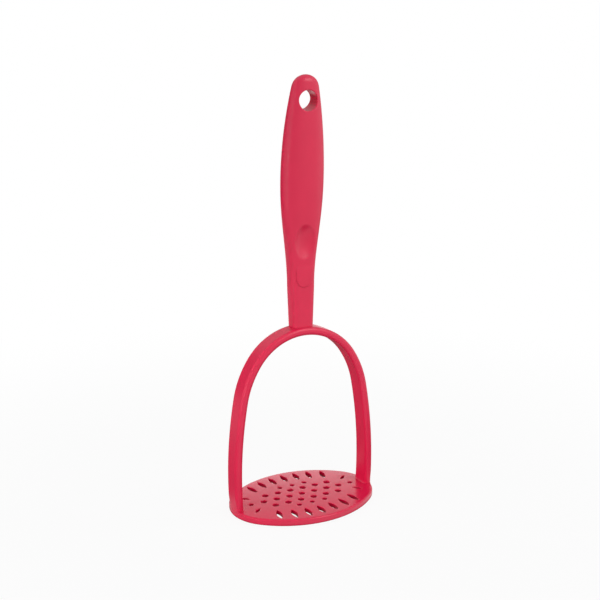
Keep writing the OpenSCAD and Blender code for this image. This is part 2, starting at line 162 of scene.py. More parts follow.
class PlateSizes(bpy.types.PropertyGroup):
    """Sizes of the oval mashing plate"""

    length: length("Length", "Length of the oval", 2 * PLATE_BOX[1].x)
    width: length("Width", "Width of the oval", 2 * PLATE_BOX[1].y)
    thickness: length("Thickness", "Height of the rim", PLATE_BOX[1].z)
    web: length("Web", "Thickness of the perforated web", mm(2.5))
    rim_width: length("Rim width", "Width of the rim under the web", mm(2.6))
    end_radius: length("End radius", "Radius of the oval's end arcs", mm(26.4))
    edge: length("Top edge", "Rounding of the top edge", mm(1))
    foot_edge: length("Bottom edge", "Rounding of the bottom edge", mm(1.2))
    rim: length("Hole rim", "Rounding of the rims of the holes", mm(0.35))
    hole: length("Hole", "Diameter of the round holes", mm(4))
    small_hole: length("Small hole", "Diameter of the round holes at the field's rim", mm(3.1))
    pitch: length("Pitch", "Distance between holes in a row", mm(8.8))
    row_1: length("Row 1", "Distance of the next rows from the middle row", mm(7.4))
    row_2: length("Row 2", "Distance of the outer rows from the middle row", mm(13.7))
    slot_length: length("Slot length", "Length of a leaf-shaped slot", mm(10.8))
    slot_width: length("Slot width", "Width of a leaf-shaped slot", mm(3.3))
    slot_pitch: length("Slot pitch", "Distance between slots along the plate", mm(8.5))
    slot_edge: length("Slot edge", "Web between a slot and the long edge", mm(3.8))
    slot_end_inset: length("Slot end inset", "Inset of the slots' oval from the ends", mm(7))
    slot_fan: turn("Slot fan", "Turn from one slot to the next", 4)
    corner_inset: length("Corner inset", "Distance of the corner slots from the oval's ends", mm(12.5))
    corner_y: length("Corner offset", "Distance of the corner slots from the long axis", mm(9.3))
    corner_turn: turn("Corner turn", "Turn of the corner slots", 42)
    corner_length: length("Corner length", "Length of a corner slot", mm(6.6))
    corner_width: length("Corner width", "Width of a corner slot", mm(2))


class Finishes(bpy.types.PropertyGroup):
    """Colours and sheen of the materials"""

    red: colour("Red", "Soft skin", (0.62, 0.004, 0.05))
    deep_red: colour("Deep red", "Soft skin where its pigment is thicker", (0.55, 0.003, 0.043))
    steel: colour("Steel", "Rolled steel of the frame", (0.52, 0.53, 0.55))
    core: colour("Core", "Stiff plastic of the paddle", (0.26, 0.27, 0.29))
    floor: colour("Floor", "Pale floor", (0.55, 0.55, 0.55))


class StageSizes(bpy.types.PropertyGroup):
    """Camera and lights"""

    azimuth: turn("Azimuth", "How far the camera stands to the left of the front", 27.57)
    elevation: turn("Elevation", "How far the camera looks down", 12.40)
    roll: turn("Roll", "Roll of the camera", -0.21)
    distance: length("Distance", "Distance of the camera from its target", mm(534.0))
    target: length("Target", "Height that the camera looks at", mm(128.84))
    lens: FloatProperty(name="Lens", description="Focal length in millimetres", default=53.42)
    shift: FloatProperty(name="Shift", description="Sideways shift of the frame", default=-0.002)
    ambient: FloatProperty(name="Ambient", description="Strength of light from all round", default=0.76)


class Socket:
    """A shader output that Python's operators work on."""

    def __init__(self, finish, output):
        self.finish = finish
        self.output = output

    def _math(self, operation, first, second):
        return self.finish.add("ShaderNodeMath", {"operation": operation}, {0: first, 1: second})

    def __add__(self, other):
        return self._math("ADD", self, other)

    __radd__ = __add__

    def __mul__(self, other):
        return self._math("MULTIPLY", self, other)

    __rmul__ = __mul__

    def __sub__(self, other):
        return self._math("SUBTRACT", self, other)

    def __rsub__(self, other):
        return self._math("SUBTRACT", other, self)


class NodeTree:
    """Adds nodes to a material's or a world's tree."""

    def __init__(self, owner):
        owner.use_nodes = True
        self.tree = owner.node_tree
        self.tree.nodes.clear()

    def add(self, kind, settings=None, inputs=None, output=0):
        """Add a node, set it up, feed its sockets and return one of its outputs."""
        node = self.tree.nodes.new(kind)
        for name, value in (settings or {}).items():
            setattr(node, name, value)
        for name, value in (inputs or {}).items():
            if isinstance(value, Socket):
                self.tree.links.new(value.output, node.inputs[name])
            else:
                node.inputs[name].default_value = value
        return Socket(self, node.outputs[output]) if node.outputs else None

    def measure(self, operation, vector, other=None):
        """A number from a vector, such as its length or how far it goes along another."""
        inputs = {0: vector} if other is None else {0: vector, 1: other}
        return self.add("ShaderNodeVectorMath", {"operation": operation}, inputs, output="Value")

    def ramp(self, value, start, stop, low=0.0, high=1.0):
        """Smooth step from low where the value is start to high where it is stop."""
        return self.add(
            "ShaderNodeMapRange",
            {"interpolation_type": "SMOOTHSTEP"},
            {"Value": value, 1: start, 2: stop, 3: low, 4: high},
        )

    def blend(self, share, first, second):
        """Mix of two shaders, all second where the share is 1."""
        return self.add("ShaderNodeMixShader", inputs={0: share, 1: first, 2: second})

    def noise(self, place, scale, detail):
        """Cloudy noise, from 0 to 1."""
        return self.add("ShaderNodeTexNoise", inputs={"Vector": place, "Scale": scale, "Detail": detail})

    def bump(self, height, strength, depth):
        """Normal of a surface that a height roughens."""
        feeds = {"Height": height, "Strength": strength, "Distance": depth}
        return self.add("ShaderNodeBump", inputs=feeds)

    def end(self, shader, kind="Material"):
        """Make a shader the surface of the material or the world."""
        self.add(f"ShaderNodeOutput{kind}", inputs={"Surface": shader})

    def dress(self, look):
        """Make a Principled shader with that look the surface of the material."""
        self.end(self.add("ShaderNodeBsdfPrincipled", inputs=look))


def opaque(rgb):
    """A colour with full alpha."""
    return (*rgb, 1.0)


def new_material(name):
    """A material, its nodes and the place on the object that they vary with."""
    material = bpy.data.materials.new(name)
    nodes = NodeTree(material)
    return material, nodes, nodes.add("ShaderNodeTexCoord", output="Object")


def skin_material(finishes, name="soft_red_skin", rough=0.29, wave=0.0):
    """Satin silicone: even pigment with faint clouds, a fine moulded grain and a soft gloss."""
    material, nodes, place = new_material(name)
    clouds = nodes.noise(place, 90.0, 3.0)
    grain = nodes.noise(place, 2600.0, 2.0)
    pigment = nodes.add(
        "ShaderNodeMix",
        {"data_type": "RGBA"},
        {"Factor": clouds, 6: opaque(finishes.red), 7: opaque(finishes.deep_red)},
        output=2,
    )
    normal = nodes.bump(grain, 0.06, mm(0.1))
    if wave > 0:
        sag = nodes.noise(place, 140.0, 1.0)
        normal = nodes.add(
            "ShaderNodeBump", inputs={"Height": sag, "Strength": 1.0, "Distance": wave, "Normal": normal}
        )
    roughness = rough + clouds * 0.06 + grain * 0.04
    look = {"Base Color": pigment, "Roughness": roughness, "Normal": normal, "IOR": 1.5}
    nodes.dress(look)
    return material


def plate_skin_material(finishes):
    """The plate's skin: rubbed smoother by use, with a faint sag between its holes."""
    return skin_material(finishes, "rubbed_red_skin", 0.15, mm(0.03))


def steel_material(finishes):
    """Rolled steel with fine lines along its length."""
    material, nodes, place = new_material("rolled_steel")
    drawn = nodes.add("ShaderNodeMapping", inputs={"Vector": place, "Scale": (1.0, 1.0, 0.05)})
    lines = nodes.noise(drawn, 1800.0, 3.0)
    look = {
        "Base Color": opaque(finishes.steel),
        "Metallic": 1.0,
        "Roughness": 0.28 + lines * 0.16,
        "Normal": nodes.bump(lines, 0.1, mm(0.05)),
    }
    nodes.dress(look)
    return material


def core_material(finishes):
    """Stiff moulded plastic with a spark-eroded grain."""
    material, nodes, place = new_material("stiff_plastic")
    grain = nodes.noise(place, 1500.0, 2.0)
    look = {
        "Base Color": opaque(finishes.core),
        "Roughness": 0.5 + grain * 0.15,
        "Normal": nodes.bump(grain, 0.2, mm(0.05)),
    }
    nodes.dress(look)
    return material


def floor_material(finishes):
    """Floor that is white to the camera, keeps a faint shadow, and in gloss shows painted light, more in
    some places.
    """
    material, nodes, place = new_material("pale_floor")
    seen = nodes.add("ShaderNodeLightPath", output="Is Camera Ray")
    glossy = nodes.add("ShaderNodeLightPath", output="Is Glossy Ray")
    plate_ratio = (1.0, 1.37, 0.0)      # makes the plate's oval about round
    rounded = nodes.add("ShaderNodeVectorMath", {"operation": "MULTIPLY"}, {0: place, 1: plate_ratio})
    reach = nodes.measure("LENGTH", place)
    ring = nodes.measure("LENGTH", rounded)
    from_pool = nodes.measure("DISTANCE", place, (mm(60), mm(-140), 0.0))
    right_ahead = nodes.measure("DOT_PRODUCT", place, (0.6, -0.8, 0.0))
    left_ahead = nodes.measure("DOT_PRODUCT", place, (-0.6, -0.8, 0.0))
    leftward = nodes.measure("DOT_PRODUCT", place, (-1.0, 0.0, 0.0))

    # A painted pool of light lies in front, seen in gloss only; near the tool it has painted shade, but
    # for a collar and the front left.
    pool = nodes.ramp(from_pool, mm(80), mm(250), 1.0, 0.0)
    close_by = nodes.ramp(reach, mm(170), mm(280), 1.0, 0.0)
    shade = close_by * nodes.ramp(left_ahead, mm(30), mm(90), 1.0, 0.0)
    collar = nodes.ramp(ring, mm(58), mm(75), 1.0, 0.0)
    near_light = pool * (1.0 - shade * (1.0 - collar))

    # Further off, the painted light on the floor gets lighter towards the front right, and a little
    # lighter on the left.
    ahead_light = nodes.ramp(right_ahead, mm(-100), mm(200), 0.05, 0.75)
    left_light = nodes.ramp(leftward, mm(80), mm(170), 0.0, 0.2)
    far_light = nodes.ramp(reach, mm(60), mm(300)) * (ahead_light + left_light) * (1.0 - pool)

    outside = nodes.ramp(ring, mm(46), mm(52))
    # Glossy rays see this painted light and shade as emission; under the plate they see a dim painted
    # shade.
    dim, bright, white = (
        nodes.add("ShaderNodeEmission", inputs={"Color": WHITE, "Strength": strength})
        for strength in (0.13, 1.4, 1.0)
    )
    gleam = nodes.blend(outside * (near_light + far_light), dim, bright)
    matt = nodes.add("ShaderNodeBsdfDiffuse", inputs={"Color": opaque(finishes.floor)})
    ground = nodes.blend(glossy, matt, gleam)
    clear = nodes.ramp(reach, mm(100), mm(500), 0.92, 1.0)
    nodes.end(nodes.blend(seen * clear, ground, white))
    return material


def lobe(nodes, towards, start, full):
    """Share of a direction's closeness to another: 0 below the start cosine, 1 above the full one."""
    gaze = nodes.add("ShaderNodeTexCoord", output="Generated")
    return nodes.ramp(nodes.measure("DOT_PRODUCT", gaze, towards), start, full)


def white_world(ambient):
    """World that is white to the camera, lights evenly and mirrors least light from behind."""
    world = bpy.data.worlds.new("white_room")
    nodes = NodeTree(world)
    camera = nodes.add("ShaderNodeLightPath", output="Is Camera Ray")
    glossy = nodes.add("ShaderNodeLightPath", output="Is Glossy Ray")
    through = nodes.add("ShaderNodeLightPath", output="Is Transmission Ray")
    behind = lobe(nodes, (0.39, 0.92, 0.0), 0.0, 0.6)
    left = lobe(nodes, (-0.94, -0.34, 0.0), 0.3, 1.0)
    right = lobe(nodes, (0.92, -0.39, 0.0), 0.2, 1.0)
    below = lobe(nodes, (0.0, 0.0, -1.0), 0.05, 0.2)
    left_behind = lobe(nodes, (-0.46, 0.88, 0.05), 0.86, 0.96)
    light, dark, bright, seen = (
        nodes.add("ShaderNodeBackground", inputs={"Color": WHITE, "Strength": strength})
        for strength in (ambient, 0.0, 2.0, 1.0)
    )
    level = 0.5 + right * 0.12 - left * 0.1 - behind * (0.2 + below * 0.3) - left_behind * 0.25
    lit = nodes.blend(glossy + through, light, nodes.blend(level, dark, bright))
    nodes.end(nodes.blend(camera, lit, seen), "World")
    return world


def shared_material(name, make):
    """The material of that name, made on first use."""
    return bpy.data.materials.get(name) or make(bpy.context.scene.masher_finishes)


def spaced(start, stop, step):
    """Heights from start to stop, no further apart than step, without the last one."""
    count = max(1, math.ceil((stop - start) / step))
    return [start + (stop - start) * i / count for i in range(count)]


def soft_max(first, second, soft):
    """The larger of two values, rounded where they cross."""
    overlap = max(soft - abs(first - second), 0.0) / soft
    return max(first, second) + overlap * overlap * soft / 4


def ease(share):
    """Smooth step from 0 to 1."""
    share = min(1.0, max(0.0, share))
    return share * share * (3 - 2 * share)


class HandleForm:
    """Outer surface of the neck and the grip: a superellipse at each height."""

    NECK_POWER = 4.5     # how square the neck's section is
    BELLY_POWER = 2.5    # how square the grip's section is
    THUMB_SKEW = 0.3     # share that the thumb dish's hollow gains at its top and loses at its foot

    def __init__(self, sizes):
        self.sizes = sizes
        self.swell_z = sizes.crown + sizes.neck_length
        self.belly_z = sizes.top - sizes.belly_drop
        self.lean_z = sizes.top - sizes.lean_length
        self.thumb_z = sizes.seam + sizes.thumb_rise
        self.width_arcs = self.arcs(sizes.belly_width / 2, sizes.end_radius)
        self.depth_arcs = self.arcs(sizes.belly_depth / 2, sizes.end_side_radius)
        self.thumb_radius = self.sag_radius(sizes.thumb_length)
        self.thumb_cross_radius = self.sag_radius(sizes.thumb_width)

    def sag_radius(self, chord):
        """Radius of an arc over a chord that is as deep as the thumb dish."""
        depth = self.sizes.thumb_depth
        return (chord * chord / 4 + depth * depth) / (2 * depth)

    def arcs(self, half, end_radius):
        """Belly arc and end arc that meet tangentially: half, both radii, end middle z, meeting z."""
        end_z = self.sizes.top - end_radius
        rise = end_z - self.belly_z
        radius = (half * half + rise * rise - end_radius * end_radius) / (2 * (half - end_radius))
        return half, radius, end_radius, end_z, end_z + end_radius * rise / (radius - end_radius)

    def swell(self, z):
        """0 at the neck, 1 at the belly."""
        share = (z - self.swell_z) / (self.belly_z - self.swell_z)
        return 0.5 - 0.5 * math.cos(math.pi * min(1.0, max(0.0, share)))

    def half(self, z, neck_half, arcs):
        """Half width or half depth at a height."""
        half, radius, end_radius, end_z, meet_z = arcs
        if z > meet_z:
            return math.sqrt(max(0.0, end_radius**2 - (z - end_z) ** 2))
        if z > self.belly_z:
            return half - radius + math.sqrt(radius**2 - (z - self.belly_z) ** 2)
        return neck_half + (half - neck_half) * self.swell(z)

    def half_width(self, z):
        sizes = self.sizes
        share = min(1.0, max(0.0, (z - sizes.crown) / sizes.neck_length))
        neck = sizes.neck_width + (sizes.neck_top_width - sizes.neck_width) * share
        return self.half(z, neck / 2, self.width_arcs)

    def half_depth(self, z):
        return self.half(z, self.sizes.neck_depth / 2, self.depth_arcs)

    def middle_y(self, z):
        """Middle of the handle from front to back: it leans to the front, and the neck is set back."""
        lean = self.sizes.lean * max(0.0, (z - self.lean_z) / self.sizes.lean_length) ** 2
        return self.sizes.neck_back * (1 - self.swell(z)) - lean

    def power(self, z):
        return self.NECK_POWER + (self.BELLY_POWER - self.NECK_POWER) * self.swell(z)

    def side_y(self, x, z, side):
        """Y of the surface at a place, on the front (side -1) or the back (side 1)."""
        power = self.power(z)
        share = min(1.0, abs(x) / max(self.half_width(z), WELD))
        return self.middle_y(z) + side * self.half_depth(z) * (1 - share**power) ** (1 / power)

    def dish_y(self, x, z):
        """Y of the thumb dish: hollow along the grip, steepest at its top, and tighter across it."""
        front = self.middle_y(self.thumb_z) - self.half_depth(self.thumb_z)
        across = math.sqrt(max(0.0, self.thumb_cross_radius**2 - x * x)) - self.thumb_cross_radius
        rise = z - self.thumb_z
        along = math.sqrt(max(0.0, (self.thumb_radius + across) ** 2 - rise * rise))
        hollow = self.sizes.thumb_depth - self.thumb_radius + along
        return front + hollow * (1 + self.THUMB_SKEW * 2 * rise / self.sizes.thumb_length)

    def point(self, z, angle):
        """Point of the surface at a height and an angle about Z."""
        wide, deep = self.half_width(z), self.half_depth(z)
        if min(wide, deep) < WELD:
            return Vector((0.0, self.middle_y(z), z))
        power = self.power(z)
        across, along = math.cos(angle), math.sin(angle)
        reach = (abs(across / wide) ** power + abs(along / deep) ** power) ** (-1 / power)
        x, y = reach * across, reach * along + self.middle_y(z)
        if along < 0 and abs(z - self.thumb_z) < self.sizes.thumb_length:
            y = soft_max(y, self.dish_y(x, z), self.sizes.thumb_edge)
        return Vector((x, y, z))


def tube(bm, heights, spokes, point):
    """Roll a grid into a tube round Z; point gives the place for a height and an angle."""
    last = len(heights) - 1
    grid = bmesh.ops.create_grid(bm, x_segments=last, y_segments=spokes, size=0.5)
    for vert in grid["verts"]:
        height = heights[round((vert.co.x + 0.5) * last)]
        vert.co = point(height, 2 * math.pi * (vert.co.y + 0.5))
    bmesh.ops.remove_doubles(bm, verts=bm.verts, dist=WELD)


def everything(bm):
    """All vertices, edges and faces."""
    return bm.verts[:] + bm.edges[:] + bm.faces[:]


def thicken(bm, way):
    """Make a flat shape a closed block, as deep as the way is long."""
    made = bmesh.ops.extrude_face_region(bm, geom=bm.faces[:], use_keep_orig=True)
    moved = [g for g in made["geom"] if isinstance(g, bmesh.types.BMVert)]
    bmesh.ops.translate(bm, verts=moved, vec=way)
    bmesh.ops.recalc_face_normals(bm, faces=bm.faces)


def soften(bm, geom, offset, segments, affect="EDGES", clamp=False):
    """Round off edges, or corners where affect is VERTICES."""
    bmesh.ops.bevel(
        bm, geom=geom, offset=offset, offset_type="OFFSET", segments=segments, profile=0.5,
        affect=affect, material=-1, clamp_overlap=clamp,
    )


def slice_grid(bm, axis, places):
    """Cut a mesh along planes across an axis, so that it can bend."""
    normal = Vector((0, 0, 0))
    normal[axis] = 1
    for place in places:
        bmesh.ops.bisect_plane(bm, geom=everything(bm), plane_co=normal * place, plane_no=normal)


def close_holes(bm):
    """Fill every open loop with a face and turn all faces outwards."""
    bmesh.ops.holes_fill(bm, edges=[e for e in bm.edges if e.is_boundary], sides=0)
    bmesh.ops.recalc_face_normals(bm, faces=bm.faces)


def to_mesh(bm, name):
    """Write a bmesh to a new mesh and free it."""
    mesh = bpy.data.meshes.new(name)
    bm.to_mesh(mesh)
    bm.free()
    return mesh


def combine(first, second, operation):
    """The boolean of two bmeshes as a new one."""
    scene = bpy.context.scene
    host = bpy.data.objects.new("host", to_mesh(first, "host"))
    tool = bpy.data.objects.new("tool", to_mesh(second, "tool"))
    for piece in (host, tool):
        scene.collection.objects.link(piece)
    modifier = host.modifiers.new("combine", "BOOLEAN")
    modifier.operation = operation
    modifier.solver = "EXACT"
    modifier.object = tool
    evaluated = host.evaluated_get(bpy.context.evaluated_depsgraph_get())
    result = bpy.data.meshes.new_from_object(evaluated)
    bm = bmesh.new()
    bm.from_mesh(result)
    spent = [result, host.data, tool.data]
    for piece in (host, tool):
        bpy.data.objects.remove(piece)
    for mesh in spent:
        bpy.data.meshes.remove(mesh)
    return bm


def add_piece(bm, name, node, material):
    """Make a bmesh the piece that stands for a CAD node, smooth but for its sharp edges."""
    if not bm.faces:
        raise RuntimeError(f"{name} has no faces")
    for face in bm.faces:
        face.smooth = True
    mesh = to_mesh(bm, name)
    mesh.set_sharp_from_angle(angle=CREASE)
    mesh.materials.append(material)
    piece = bpy.data.objects.new(name, mesh)
    bpy.context.scene.collection.objects.link(piece)
    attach(piece, BODY)
    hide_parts(node)
    return piece


def tongue_block(form, gap, depth):
    """Block with a round lower end that follows the handle's front, grown all round by gap."""
    sizes = form.sizes
    radius = sizes.tongue_width / 2 + gap
    round_z = sizes.seam - sizes.tongue_length + sizes.tongue_width / 2
    top_z = sizes.seam + sizes.tongue_fade
    bm = bmesh.new()
    start = bm.verts.new((-radius, 0, round_z))
    bmesh.ops.spin(
        bm, geom=[start], cent=(0, 0, round_z), axis=(0, -1, 0), angle=math.pi, steps=32,
        use_duplicate=False,
    )
    ends = [v for v in bm.verts if len(v.link_edges) == 1]
    raised = bmesh.ops.extrude_vert_indiv(bm, verts=ends)
    bmesh.ops.translate(bm, verts=raised["verts"], vec=(0, 0, top_z - round_z))
    bm.edges.new(raised["verts"])
    bmesh.ops.contextual_create(bm, geom=bm.edges[:])
    thicken(bm, (0, depth, 0))
    return bm


def lay_on_front(bm, form, proud):
    """Bend a flat block onto the handle's front, proud below the seam and running out above it."""
    sizes = form.sizes
    run_out = 1.6        # more than 1, so that the block's upper end dips under the grip's surface
    for vert in bm.verts:
        fade = ease((vert.co.z - sizes.seam) / sizes.tongue_fade)
        vert.co.y += form.side_y(vert.co.x, vert.co.z, -1) - proud * (1 - run_out * fade)


def make_tongue(form):
    """Tongue of the grip that laps the front of the neck, with a rounded edge."""
    sizes = form.sizes
    bm = tongue_block(form, 0.0, sizes.tongue_let)
    rim = [e for e in bm.edges if all(abs(v.co.y) < WELD for v in e.verts)]
    soften(bm, rim, sizes.tongue_edge, segments=3, clamp=True)
    reach = sizes.tongue_width / 2
    strips = 6           # on each side of the middle
    row_height = mm(0.8)
    slice_grid(bm, 0, [reach * i / strips for i in range(1 - strips, strips)])
    rows = spaced(sizes.seam - sizes.tongue_length, sizes.seam + sizes.tongue_fade, row_height)
    slice_grid(bm, 2, rows[1:])
    lay_on_front(bm, form, sizes.tongue_proud)
    return bm


def along_bore(point):
    """Distance of a point along the hanging hole's axis from the hole's middle."""
    return (point - HOLE_MIDDLE).dot(HOLE_AXIS)


def off_bore(point):
    """Way to a point, square to the hanging hole's axis."""
    return (point - HOLE_MIDDLE) - HOLE_AXIS * along_bore(point)


def pierce(bm, form):
    """Cut the hanging hole through the grip and round both of its rims."""
    sizes = form.sizes
    radius = mm(HANG_HOLE["dims"]["r_mm"])
    wide = radius + sizes.hole_rim
    across = Vector((1, 0, 0))
    spin = Matrix((across, HOLE_AXIS.cross(across), HOLE_AXIS)).transposed().to_4x4()
    cutter = bmesh.new()
    bmesh.ops.create_cone(
        cutter, cap_ends=True, segments=96, radius1=wide, radius2=wide, depth=2 * sizes.belly_depth
    )
    bmesh.ops.transform(cutter, matrix=Matrix.Translation(HOLE_MIDDLE) @ spin, verts=cutter.verts)
    bmesh.ops.recalc_face_normals(cutter, faces=cutter.faces)
    bm = combine(bm, cutter, "DIFFERENCE")
    near = mm(0.02)

    def on_wall(vert):
        return abs(off_bore(vert.co).length - wide) < near

    wall = [f for f in bm.faces if all(on_wall(v) for v in f.verts)]
    bmesh.ops.delete(bm, geom=wall, context="FACES")
    mouths = []
    for side in (-1, 1):
        rim = [e for e in bm.edges if e.is_boundary and on_wall(e.verts[0])]
        rim = [e for e in rim if along_bore(e.verts[0].co) * side > 0]
        mouths.append(round_rim(bm, form, rim, side, radius))
    bmesh.ops.bridge_loops(bm, edges=mouths[0] + mouths[1])
    bmesh.ops.recalc_face_normals(bm, faces=bm.faces)
    return bm


def round_rim(bm, form, rim, side, radius, rings=6):
    """Extrude a rim loop inwards along a curve that leaves the surface and ends along the bore."""
    landings = 4         # each brings a corner closer to the grip's surface
    starts = {}
    for ring in range(1, rings + 1):
        grown = bmesh.ops.extrude_edge_only(bm, edges=rim)["geom"]
        rim = [g for g in grown if isinstance(g, bmesh.types.BMEdge)]
        fresh = [g for g in grown if isinstance(g, bmesh.types.BMVert)]
        rim = [e for e in rim if e.verts[0] in fresh and e.verts[1] in fresh]
        share = ring / rings
        moved = {}
        for vert in fresh:
            key = vert.co.copy().freeze()
            start = starts.get(key, vert.co.copy())
            spoke = off_bore(start).normalized() * radius
            corner = HOLE_MIDDLE + spoke + HOLE_AXIS * along_bore(start)
            for _ in range(landings):
                gap = form.side_y(corner.x, corner.z, side) - corner.y
                corner += HOLE_AXIS * (gap / HOLE_AXIS.y)
            wall = corner - HOLE_AXIS * side * form.sizes.hole_rim
            vert.co = start * (1 - share) ** 2 + corner * 2 * share * (1 - share) + wall * share**2
            moved[vert.co.copy().freeze()] = start
        starts = moved
    return rim


def grip_heights(form):
    """Heights of the grip's rings: close together round the dish, the hole and the end."""
    sizes = form.sizes
    dish_step, belly_step, hole_step, tip_step = mm(0.4), mm(1.2), mm(0.7), math.radians(3)
    margin, hole_run = mm(2), mm(20)
    dish_top = form.thumb_z + sizes.thumb_length / 2 + margin
    _, _, end_radius, end_z, meet_z = form.width_arcs
    hole_foot = meet_z - hole_run
    first = math.asin((meet_z - end_z) / end_radius)
    tip = [end_z + end_radius * math.sin(a) for a in spaced(first, math.pi / 2, tip_step)]
    return [
        *spaced(sizes.seam, dish_top, dish_step),
        *spaced(dish_top, hole_foot, belly_step),
        *spaced(hole_foot, meet_z, hole_step),
        *tip,
        sizes.top,
    ]


def crown_z(x):
    """Height of the bow's outer face over a place near its crown."""
    bow = BowForm(bpy.context.scene.masher_bow)
    return bow.crown_mid.y + math.sqrt(bow.crown_radius**2 - x * x)


class BowForm:
    """Arcs of the bow in the XZ plane, from the crown down to a foot on the plate's edge."""

    def __init__(self, sizes):
        plate = PlateForm(bpy.context.scene.masher_plate)
        first, second, third = sizes.crown_slope, sizes.shoulder_slope, sizes.foot_slope
        shoulder = sizes.shoulder_radius
        foot_x = plate.half_length - sizes.foot_in
        run = foot_x - shoulder * (math.sin(second) - math.sin(first))
        drop = sizes.height - plate.thickness - shoulder * (math.cos(first) - math.cos(second))
        leg_run = math.sin(third) - math.sin(second)
        leg_drop = math.cos(second) - math.cos(third)
        crown_run, crown_drop = math.sin(first), 1 - math.cos(first)
        scale = crown_run * leg_drop - leg_run * crown_drop
        self.crown_radius = (run * leg_drop - leg_run * drop) / scale
        self.leg_radius = (crown_run * drop - crown_drop * run) / scale
        self.crown_mid = Vector((0, sizes.height - self.crown_radius))
        self.shoulder_mid = self.crown_mid + (self.crown_radius - shoulder) * self.outward(first)
        self.leg_mid = self.shoulder_mid + (shoulder - self.leg_radius) * self.outward(second)

    @staticmethod
    def outward(slope):
        """Direction out of an arc where it has a slope."""
        return Vector((math.sin(slope), math.cos(slope)))


class PlateForm:
    """Oval outline: two end arcs and two side arcs that meet tangentially, all drawn in by inset."""

    def __init__(self, sizes, inset=0.0):
        self.thickness = sizes.thickness
        self.half_length = sizes.length / 2 - inset
        self.half_width = sizes.width / 2 - inset
        self.end_radius = sizes.end_radius - inset
        self.end_x = self.half_length - self.end_radius
        square = self.end_x**2 + self.half_width**2 - self.end_radius**2
        self.side_y = square / (2 * (self.half_width - self.end_radius)) - self.half_width
        self.side_turn = math.atan2(self.end_x, self.side_y)
        self.end_turn = math.pi / 2 - self.side_turn

    def end_reach(self, y):
        """Distance of an end's edge from the middle, a way off the long axis."""
        return self.end_x + math.sqrt(self.end_radius**2 - y * y)


def swing(bm, vert, centre, angle, steps):
    """Draw an arc of edges from a vertex round a centre in the XY plane and return its last vertex."""
    made = bmesh.ops.spin(
        bm, geom=[vert], cent=(*centre, 0), axis=(0, 0, 1), angle=angle, steps=steps,
        use_duplicate=False,
    )
    return next(g for g in made["geom_last"] if isinstance(g, bmesh.types.BMVert))


def draw_oval(bm, form):
    """Draw the oval as one loop of edges."""
    spoke = Vector((math.cos(form.end_turn), -math.sin(form.end_turn)))
    vert = bm.verts.new((*(Vector((form.end_x, 0)) + form.end_radius * spoke), 0))
    for side in (1, -1):
        vert = swing(bm, vert, (side * form.end_x, 0), 2 * form.end_turn, steps=96)
        vert = swing(bm, vert, (0, -side * form.side_y), 2 * form.side_turn, steps=48)
    bmesh.ops.remove_doubles(bm, verts=bm.verts, dist=LOOP_WELD)


def draw_hole(bm, x, y, diameter):
    """Draw a round hole as a loop of edges."""
    bmesh.ops.create_circle(
        bm, cap_ends=False, segments=28, radius=diameter / 2, matrix=Matrix.Translation((x, y, 0))
    )


def draw_leaf(bm, x, y, long, wide, angle):
    """Draw a leaf-shaped slot as two arcs that meet in pointed tips."""
    radius = (long * long + wide * wide) / (4 * wide)
    sweep = 2 * math.asin(long / 2 / radius)
    before = set(bm.verts)
    vert = bm.verts.new((-long / 2, 0, 0))
    for middle_y in (radius - wide / 2, wide / 2 - radius):
        vert = swing(bm, vert, (0, middle_y), sweep, steps=16)
    fresh = [v for v in bm.verts if v not in before]
    place = Matrix.Translation((x, y, 0)) @ Matrix.Rotation(angle, 4, "Z")
    bmesh.ops.transform(bm, matrix=place, verts=fresh)


def draw_holes(bm, sizes, form):
    """Draw every round hole and slot of the plate."""
    far, slots_aside = 4, 3      # holes and slots on each side of the middle
    next_row = 6                 # holes in the rows beside the middle row
    long_half = form.half_length - sizes.slot_end_inset
    wide_half = form.half_width - sizes.slot_edge - sizes.slot_length / 2
    for i in range(-far, far + 1):
        draw_hole(bm, i * sizes.pitch, 0, sizes.small_hole if abs(i) == far else sizes.hole)
    for side in (-1, 1):
        for i in range(next_row):
            draw_hole(bm, (i - (next_row - 1) / 2) * sizes.pitch, side * sizes.row_1, sizes.hole)
        for i in (-1, 0, 1):
            draw_hole(bm, i * sizes.pitch, side * sizes.row_2, sizes.small_hole)
        for i in range(-slots_aside, slots_aside + 1):
            x = i * sizes.slot_pitch
            y = side * wide_half * math.sqrt(1 - (x / long_half) ** 2)
            angle = math.pi / 2 - side * i * sizes.slot_fan
            draw_leaf(bm, x, y, sizes.slot_length, sizes.slot_width, angle)
        for end in (-1, 1):
            x = end * (form.half_length - sizes.corner_inset)
            angle = end * side * sizes.corner_turn
            draw_leaf(bm, x, side * sizes.corner_y, sizes.corner_length, sizes.corner_width, angle)


def flat_key(vert):
    """Place of a vertex seen from above, to a tenth of a micrometre."""
    return round(vert.co.x, 7), round(vert.co.y, 7)


def rim_edges(bm, z, places):
    """Sharp edges at a height between places that are seen from above."""

    def sharp(edge):
        return len(edge.link_faces) == 2 and edge.calc_face_angle() > RIM_BEND

    level = [e for e in bm.edges if all(abs(v.co.z - z) < WELD for v in e.verts) and sharp(e)]
    return [e for e in level if all(flat_key(v) in places for v in e.verts)]


